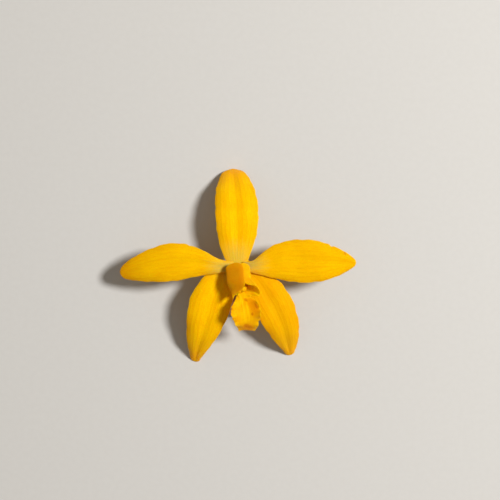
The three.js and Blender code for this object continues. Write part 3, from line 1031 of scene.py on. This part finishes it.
@dataclass
class Column:
    """The club in the middle of the flower.

    Each station is x, y, z of its axis, then its half-width, its height at the back and its depth in front.
    """

    node: str = "column"
    finish: FleshFinish = FleshFinish("column_flesh", "#eaaf06", "#dc9204", "#e6c265", 0.45, THIN_SKIN)
    stations: Table = (
        (0.0, -0.5, COLUMN_FOOT, 1.2, 0.95, 0.75),
        (0.0, -0.55, 10.9, 1.35, 1.05, 0.7),
        (0.0, -1.8, 12.2, 1.6, 1.1, 1.0),
        (0.05, -3.1, 13.3, 1.75, 1.15, 1.1),
        (0.25, -4.4, 14.1, 1.85, 1.15, 1.0),
        (0.5, -5.6, 14.6, 1.85, 1.1, 1.0),
        (0.7, -6.4, 14.75, 1.65, 1.0, 0.95),
    )
    rows: int = 110
    sides: int = 96
    hollow_depth: float = 0.55
    hollow_place: float = 0.72
    hollow_reach: float = 0.13
    wing: float = 0.22
    wing_ahead: float = 0.08
    wing_reach: float = 0.16
    wing_sine: Pair = (-0.35, 0.3)
    foot_length: float = 0.01
    end_length: float = 0.06
    cap_gap: float = 0.04

    def points(self) -> tuple[Array, Marks]:
        """Rings along the axis: a taller half ellipse at the back, a flatter one with the hollow in front.

        A point is the axis plus the half-width times the cosine sideways, and the height times the sine
        upwards. The front is pressed in by the hollow's bell curve, low wings stand out beside it by bell
        curves along the axis and over the sine, and both ends are rounded off by a root curve.

        Returns:
            The grid of points in millimetres, and its along mark.
        """
        t, turn = ring_grid(crowded(self.rows), self.sides)
        at = frames_along(self.stations, t)
        sine = np.sin(turn)
        back = sine > 0.0
        closing = np.clip((t - 1.0 + self.end_length) / self.end_length, 0.0, 1.0)
        round_end = np.sqrt(1.0 - closing**2) * np.sqrt(np.clip(t / self.foot_length, 0.0, 1.0))
        hollow = hump(t, self.hollow_place, self.hollow_reach)
        wing_place = self.hollow_place + self.wing_ahead
        wing = self.wing * hump(t, wing_place, self.wing_reach) * hump(sine, *self.wing_sine)
        inset = np.where(back, 0.0, self.hollow_depth * sine**4) * hollow
        height = np.where(back, at.extra[..., 1], at.extra[..., 2]) * sine + inset
        sideways = (at.extra[..., 0] + wing) * np.cos(turn)
        points = at.point + at.left * (sideways * round_end)[..., None]
        points = points + at.upper * (height * round_end)[..., None]
        return points, {"along": t}

    def end(self) -> Matrix:
        """Works out where the anther sits.

        Returns:
            A place in millimetres with +Z along the column's end and +Y to its back.
        """
        at = frames_along(self.stations, np.array(1.0))
        place = Matrix((at.left, at.upper, at.forward)).transposed().to_4x4()
        place.translation = Vector(at.point + at.forward * self.cap_gap)
        return place

    def build(self) -> bpy.types.Object:
        """Makes the column and puts it in its node's place."""
        mesh = wrapped_mesh("column_club", *self.points())
        return place_piece(mesh, self.node, self.finish.material())


@dataclass
class AntherCap:
    """The two-lobed hood on the end of the column, open towards it."""

    end: Matrix
    node: str = "anther_cap"
    finish: FleshFinish = FleshFinish("cap_flesh", "#eba605", "#e09004", "#ebae0c", 0.42, THIN_SKIN)
    half_width: float = 1.75
    half_height: float = 1.2
    depth: float = 1.5
    wall: float = 0.26
    rim: Pair = (0.42, 0.58)
    groove: float = 0.24
    groove_width: float = 0.32
    rows: int = 64
    sides: int = 72

    def points(self) -> tuple[Array, Marks]:
        """Rings over the outside from the top to the rim, and back up the inside.

        Each surface is a half ellipsoid, pressed in along the middle by the groove's bell curve. The wall's
        thickness comes off the inner one, and a smooth step over the rim leads from the one to the other.

        Returns:
            The grid of points in millimetres, and its along mark, 1 at the top.
        """
        s, turn = ring_grid(np.linspace(0.0, 1.0, self.rows), self.sides)
        tilt = math.pi / 2.0 * (1.0 - np.abs(2.0 * s - 1.0))
        inner = self.wall * ease(*self.rim, s)
        x = (self.half_width - inner) * np.sin(tilt) * np.cos(turn)
        y = (self.half_height - inner) * np.sin(tilt) * np.sin(turn)
        lobes = 1.0 - self.groove * hump(x, 0.0, self.groove_width)
        z = (self.depth - inner) * np.cos(tilt) * lobes
        return moved(np.stack([x, y, z], axis=-1), self.end), {"along": np.cos(tilt)}

    def build(self) -> bpy.types.Object:
        """Makes the cap and puts it in its node's place."""
        mesh = wrapped_mesh("anther_hood", *self.points())
        return place_piece(mesh, self.node, self.finish.material())


@dataclass
class Pollinia:
    """The pollen masses side by side under the cap, with the soft band that joins them."""

    end: Matrix
    node: str = "pollinia"
    finish: FleshFinish = FleshFinish("pollen_wax", "#e9cf4e", "#d9b432", "#efdc86", 0.35)
    radius: float = 0.3
    thickness: float = 0.26
    pitch: float = 0.4
    masses: int = 4
    band_thickness: float = 0.12
    band_width: float = 0.3
    end_marks: Pair = (0.3, 1.0)
    rows: int = 24
    sides: int = 32

    def ellipsoid(self, middle: Point, halves: Point) -> Array:
        """Rings round an ellipsoid.

        A point is the middle plus the half-lengths times the cosine of the tilt, and the sine of the tilt
        times the cosine and the sine of the turn.

        Args:
            middle: its middle in the cap's own axes.
            halves: its three half-lengths.

        Returns:
            The grid of points in millimetres.
        """
        tilt, turn = ring_grid(np.linspace(0.0, math.pi, self.rows), self.sides)
        sine = np.sin(tilt)
        ball = np.stack([np.cos(tilt), sine * np.cos(turn), sine * np.sin(turn)], axis=-1)
        return moved(ball * halves + middle, self.end)

    def build(self) -> bpy.types.Object:
        """Makes the masses and their band as one piece, and puts it in its node's place.

        Returns:
            The new object.
        """
        span = self.pitch * (self.masses - 1)
        places = [k * self.pitch - span / 2.0 for k in range(self.masses)]
        mass = (self.thickness / 2.0, self.radius, self.radius)
        band = (span / 2.0, self.band_width / 2.0, self.band_thickness / 2.0)
        grids = [self.ellipsoid((x, 0.0, self.radius), mass) for x in places]
        grids.append(self.ellipsoid((0.0, 0.0, self.band_thickness), band))
        along = np.linspace(*self.end_marks, self.rows)[:, None]
        whole = bmesh.new()
        for grid in grids:
            part = wrapped_mesh("pollen_part", grid, {"along": along})
            whole.from_mesh(part)
            bpy.data.meshes.remove(part)
        mesh = bpy.data.meshes.new("pollen_masses")
        whole.to_mesh(mesh)
        whole.free()
        mesh.shade_smooth()
        return place_piece(mesh, self.node, self.finish.material())


# Ovary and stalk


@dataclass
class Stalk:
    """The ribbed, half twisted ovary and its stalk: each station is x, y, z of the axis and the radius."""

    node: str = "ovary_and_pedicel"
    finish: StalkFinish = StalkFinish()
    stations: Table = (
        (0.0, 0.0, SEPAL_UNDERSIDE - SEAT_GAP, 2.7),
        (0.0, -0.05, 7.6, 2.35),
        (0.0, -0.4, 6.6, 1.85),
        (0.0, -1.3, 5.2, 1.75),
        (-0.1, -3.1, 3.8, 1.75),
        (-0.3, -5.6, 2.8, 1.65),
        (-0.7, -8.6, 2.2, 1.5),
        (-1.1, -11.5, 1.9, 1.3),
        (-1.6, -14.2, 1.75, 1.2),
    )
    boss_radius: float = 1.5
    boss_power: float = 0.5
    rows: int = 200
    end_rows: int = 16
    sides: int = 96
    ribs: int = 6
    rib_height: float = 0.08
    rib_power: float = 0.7
    ribs_grow: Pair = (0.1, 0.25)
    ribs_end: Pair = (0.6, 0.85)
    twist: float = math.pi
    grain: float = 0.012
    grain_turns: float = 17.0
    grain_slant: float = 9.0
    grain_bands: float = 31.0
    sink: float = 0.12
    sink_rows: int = 12

    def boss(self) -> Array:
        """Rings of the low dome on top.

        The radius is the boss's times the sine of the tilt, and the height over the ovary's top is the
        boss's times a power of its cosine.

        Returns:
            The grid of points in millimetres.
        """
        tilt, turn = ring_grid(np.linspace(0.0, math.pi / 2.0, self.end_rows), self.sides)
        radius = self.boss_radius * np.sin(tilt)
        low = SEPAL_UNDERSIDE - SEAT_GAP
        height = low + (BOSS_TOP - low) * np.cos(tilt) ** self.boss_power
        return np.stack([radius * np.cos(turn), -radius * np.sin(turn), height], axis=-1)

    def stem(self) -> tuple[Array, Array]:
        """Rings along the stations, with ribs that turn with the ovary.

        The radius at a turn is the station's, times one plus the rib height times a power of the cosine of
        the ribs times the turn, plus a fine grain of one sine times another. The turn itself moves on by the
        twist from the boss to the cut.

        Returns:
            The grid of points in millimetres, and the ribs' height from -1 to 1.
        """
        t, turn = ring_grid(np.linspace(0.0, 1.0, self.rows), self.sides)
        at = frames_along(self.stations, t)
        upper = unit(np.cross(at.forward, (1.0, 0.0, 0.0)))
        left = np.cross(upper, at.forward)
        grown = ease(*self.ribs_grow, t) * (1.0 - ease(*self.ribs_end, t))
        rib = np.cos(self.ribs * turn)
        profile = np.sign(rib) * np.abs(rib) ** self.rib_power
        slanted = np.sin(self.grain_turns * turn + self.grain_slant * t)
        grain = self.grain * slanted * np.sin(self.grain_bands * t)
        radius = at.extra[..., 0] * (1.0 + self.rib_height * grown * profile + grain)
        angle = turn + self.twist * t
        sideways = left * (radius * np.cos(angle))[..., None]
        points = at.point + sideways + upper * (radius * np.sin(angle))[..., None]
        return points, rib * grown

    def cut_end(self, stem: Array) -> tuple[Array, Array]:
        """Rings over the cut: the stem's last ring shrunk to its middle by a cosine, and sunk a little.

        The middle sinks by a share of the stem's run over its last few rings.

        Args:
            stem: the rings along the stations.

        Returns:
            The grid of points in millimetres, and how far each ring is from the rim, up to 1 in the middle.
        """
        middle = stem[-1].mean(axis=0)
        shrink = np.cos(np.linspace(0.0, math.pi / 2.0, self.end_rows))[1:, None, None]
        outwards = middle - stem[-self.sink_rows].mean(axis=0)
        sunk = self.sink * (1.0 - shrink) * outwards
        return middle + (stem[-1] - middle) * shrink - sunk, 1.0 - shrink[:, 0, 0]

    def build(self) -> bpy.types.Object:
        """Makes boss, ovary, stalk and cut end as one closed piece, and puts it in its node's place.

        Returns:
            The new object.
        """
        stem, rib = self.stem()
        cut, depth = self.cut_end(stem)
        points = np.concatenate([self.boss(), stem, cut])
        stem_along = np.linspace(0.0, 1.0, self.rows)
        along = np.concatenate([np.zeros(self.end_rows), stem_along, np.ones(self.end_rows - 1)])
        depths = np.concatenate([np.zeros(self.end_rows + self.rows), depth])
        ribs = np.zeros(points.shape[:2])
        ribs[self.end_rows : self.end_rows + self.rows] = rib
        marks = {"along": along[:, None], "cut": depths[:, None], "rib": ribs}
        mesh = wrapped_mesh("ovary_and_stalk", points, marks)
        return place_piece(mesh, self.node, self.finish.material())


# Studio


@dataclass
class Studio:
    """Plain pale floor, a soft key light from the right, even fill from all round, and the camera above.

    The floor's size, the key light's size and distance and the nearest place seen are in metres. The floor's
    grain and relief and the view's middle, distance and width are in millimetres.
    """

    floor_size: float = 3.0
    floor_colour: str = "#bdbbb7"
    floor_speck: str = "#a4a19c"
    floor_grain: float = 1.5
    floor_fade: Fade = (0.3, 0.7, 0.0, 0.06)
    floor_roughness: float = 0.9
    floor_relief: float = 0.01
    floor_skin: Skin = Skin(shine=0.1, depth=0.0)
    key_direction: Point = (0.56, 0.18, 0.81)
    key_distance: float = 0.9
    key_size: float = 0.2
    key_power: float = 10.4
    fill_colour: str = "#fff6ea"
    fill_strength: float = 0.32
    view_middle: Point = (3.305, 3.856, 9.5)
    view_distance: float = 600.0
    view_width: float = 137.7
    view_nearest: float = 0.01

    def floor_finish(self) -> Material:
        """Wires the faint specks and grain of the floor.

        Returns:
            The material.
        """
        g = Graph("floor_paper")
        grain = g.noise(self.floor_grain)
        colour = g.layered(self.floor_colour, [(g.ease(grain, *self.floor_fade), self.floor_speck)])
        return g.finish(colour, self.floor_roughness, grain, self.floor_relief, self.floor_skin)

    def lay_floor(self) -> bpy.types.Object:
        """Lays the floor at the level that the flower rests on.

        Returns:
            The floor.
        """
        half = self.floor_size / 2.0
        mesh = bpy.data.meshes.new("floor")
        corners = [(-half, -half, 0.0), (half, -half, 0.0), (half, half, 0.0), (-half, half, 0.0)]
        mesh.from_pydata(corners, [], [(0, 1, 2, 3)])
        mesh.materials.append(self.floor_finish())
        floor = bpy.data.objects.new("floor", mesh)
        bpy.context.scene.collection.objects.link(floor)
        return floor

    def light(self) -> None:
        """Hangs the key light and sets the even fill."""
        lamp = bpy.data.lights.new("key", "AREA")
        lamp.shape = "DISK"
        lamp.size = self.key_size
        lamp.energy = self.key_power
        key = bpy.data.objects.new("key", lamp)
        direction = Vector(self.key_direction).normalized()
        key.location = direction * self.key_distance
        key.rotation_euler = direction.to_track_quat("Z", "Y").to_euler()
        bpy.context.scene.collection.objects.link(key)
        world = bpy.data.worlds.new("fill")
        world.use_nodes = True
        sky = world.node_tree.nodes["Background"]
        sky.inputs["Color"].default_value = linear(self.fill_colour)
        sky.inputs["Strength"].default_value = self.fill_strength
        bpy.context.scene.world = world

    def set_camera(self) -> None:
        """Hangs the camera straight above, with the top of the flower to the top of the picture."""
        lens = bpy.data.cameras.new("camera")
        lens.lens = lens.sensor_width * self.view_distance / self.view_width
        lens.clip_start = self.view_nearest
        camera = bpy.data.objects.new("camera", lens)
        x, y, z = self.view_middle
        camera.location = (x * MM, y * MM, (z + self.view_distance) * MM)
        bpy.context.scene.collection.objects.link(camera)
        bpy.context.scene.camera = camera
        bpy.context.scene.view_settings.view_transform = "Standard"

    def build(self) -> None:
        """Sets up the floor, the light and the camera."""
        self.lay_floor()
        self.light()
        self.set_camera()


# The flower


@dataclass
class Flower:
    """All the pieces of the flower, from the outermost ring of blades to the stalk behind them."""

    sepal: BladeFinish = BladeFinish(
        "sepal_tissue", "#efbb02", "#e09b02", "#ffa602", "#ccb03e", "#dda51c", pale_reach=0.24
    )
    deep_sepal: BladeFinish = BladeFinish(
        "deep_sepal_tissue", "#dfa903", "#d38e02", "#ffae02", "#c8a22a", "#dda51c", pale_reach=0.17
    )
    # The petal finish is used on the left petal. Its dark tip is partly painted shade, for a tip that turns
    # from the light.
    petal: BladeFinish = BladeFinish(
        "petal_tissue", "#e6b602", "#d39602", "#c88402", "#b8a550", "#dba11c", pale_reach=0.28, pale_side=0.2
    )
    # The right petal keeps a lighter tip, without that painted shade.
    bruised_petal: BladeFinish = replace(
        petal, name="bruised_petal_tissue", tip="#e2aa02", bruises=(Spot(0.825, 0.85, 0.02, 0.2, 0.6),)
    )
    blades: list[Blade] = field(init=False)

    def __post_init__(self) -> None:
        """Lists the sepals and petals with their stations and shaping."""
        self.blades = [
            Blade(
                "dorsal_sepal",
                Slot.SEPAL,
                self.sepal,
                (
                    (0.0, -0.3, 9.3, 2.7, 2.4),
                    (-0.2, 4.2, 9.6, 4.7, 4.15),
                    (-0.2, 8.0, 10.3, 5.5, 5.5),
                    (-0.35, 12.0, 10.5, 5.8, 6.0),
                    (-0.4, 16.0, 10.0, 5.9, 6.05),
                    (-0.75, 19.9, 8.5, 5.7, 5.55),
                    (-1.1, 23.1, 5.8, 4.85, 4.6),
                    (-1.45, 25.3, 2.8, 3.6, 3.25),
                    (-1.5, 26.35, -0.3, 2.3, 2.1),
                ),
                channel=0.4,
                droop=(0.7, 0.45),
                wave=0.12,
                waves=3,
                shaped=(0.3, 0.7),
                tip_length=0.1,
            ),
            Blade(
                "lateral_sepal_left",
                Slot.SEPAL,
                self.sepal,
                (
                    (-1.15, -0.55, SEPAL_MID, 2.2, 2.2),
                    (-3.5, -2.4, 9.4, 2.9, 3.1),
                    (-5.6, -5.8, 10.0, 4.9, 4.8),
                    (-7.3, -10.6, 10.2, 5.7, 6.35),
                    (-8.8, -15.8, 9.2, 5.1, 5.6),
                    (-10.2, -20.6, 7.0, 3.8, 4.5),
                    (-11.2, -24.0, 4.1, 2.3, 3.1),
                    (-11.75, -26.1, 1.5, 1.4, 1.9),
                    (-11.9, -27.2, -0.3, 1.0, 1.1),
                ),
                channel=0.3,
                droop=(0.25, 0.6),
                wave=0.18,
                waves=4,
            ),
            Blade(
                "lateral_sepal_right",
                Slot.SEPAL,
                self.deep_sepal,
                (
                    (1.15, -0.55, SEPAL_MID, 2.2, 2.2),
                    (3.6, -2.6, 9.4, 3.1, 2.9),
                    (6.6, -6.0, 10.0, 4.4, 4.8),
                    (9.3, -10.6, 10.1, 5.7, 5.5),
                    (11.5, -15.4, 9.1, 5.3, 4.75),
                    (13.0, -19.6, 6.9, 4.4, 3.85),
                    (13.8, -22.6, 3.9, 3.05, 2.4),
                    (14.25, -24.5, 1.4, 1.9, 1.4),
                    (14.45, -25.35, -0.3, 1.1, 0.9),
                ),
                channel=0.3,
                droop=(0.5, 0.25),
                wave=0.15,
                waves=4,
                uneven=0.018,
            ),
            Blade(
                "petal_left",
                Slot.PETAL,
                self.petal,
                (
                    (-1.2, -0.4, PETAL_MID, 1.3, 1.2),
                    (-4.6, -0.5, 11.1, 2.0, 1.4),
                    (-8.0, -0.1, 11.3, 2.9, 2.75),
                    (-12.0, 0.5, 11.4, 4.1, 4.4),
                    (-16.5, 0.6, 11.4, 5.2, 5.5),
                    (-21.0, 0.1, 11.1, 5.1, 5.2),
                    (-25.4, -0.8, 10.3, 4.3, 4.2),
                    (-28.8, -1.5, 9.3, 3.3, 3.1),
                    (-31.2, -2.4, 8.4, 2.4, 2.2),
                    (-32.3, -3.1, 7.9, 1.0, 0.8),
                ),
                channel=0.3,
                droop=(0.8, 0.3),
                wave=0.18,
                waves=4,
                nicks=(Nick(0.37, -1, 0.05, 0.012),),
            ),
            Blade(
                "petal_right",
                Slot.PETAL,
                self.bruised_petal,
                (
                    (1.2, -0.5, PETAL_MID, 1.2, 1.0),
                    (4.4, -0.6, 10.8, 1.1, 2.1),
                    (7.6, 0.0, 11.2, 3.7, 3.6),
                    (11.4, 0.5, 11.5, 5.4, 4.9),
                    (15.6, 0.8, 11.8, 6.0, 5.9),
                    (20.0, 0.8, 12.2, 6.0, 6.0),
                    (24.2, 0.7, 12.4, 5.1, 5.3),
                    (28.0, 0.6, 12.4, 3.6, 3.8),
                    (31.0, 0.45, 12.3, 1.8, 2.0),
                    (32.4, 0.25, 12.2, 0.6, 0.7),
                ),
                channel=0.3,
                droop=(0.3, 0.8),
                wave=0.2,
                waves=4,
                nicks=(Nick(0.705, 1, 0.11, 0.014),),
            ),
        ]

    def build(self) -> None:
        """Builds every piece in order."""
        for blade in self.blades:
            blade.build()
        Lip().build()
        column = Column()
        column.build()
        AntherCap(column.end()).build()
        Pollinia(column.end()).build()
        Stalk().build()


def main() -> None:
    """Builds the flower and the studio."""
    logging.basicConfig(level=logging.INFO, format="%(name)s: %(message)s")
    Flower().build()
    Studio().build()


if __name__ == "__main__":
    main()
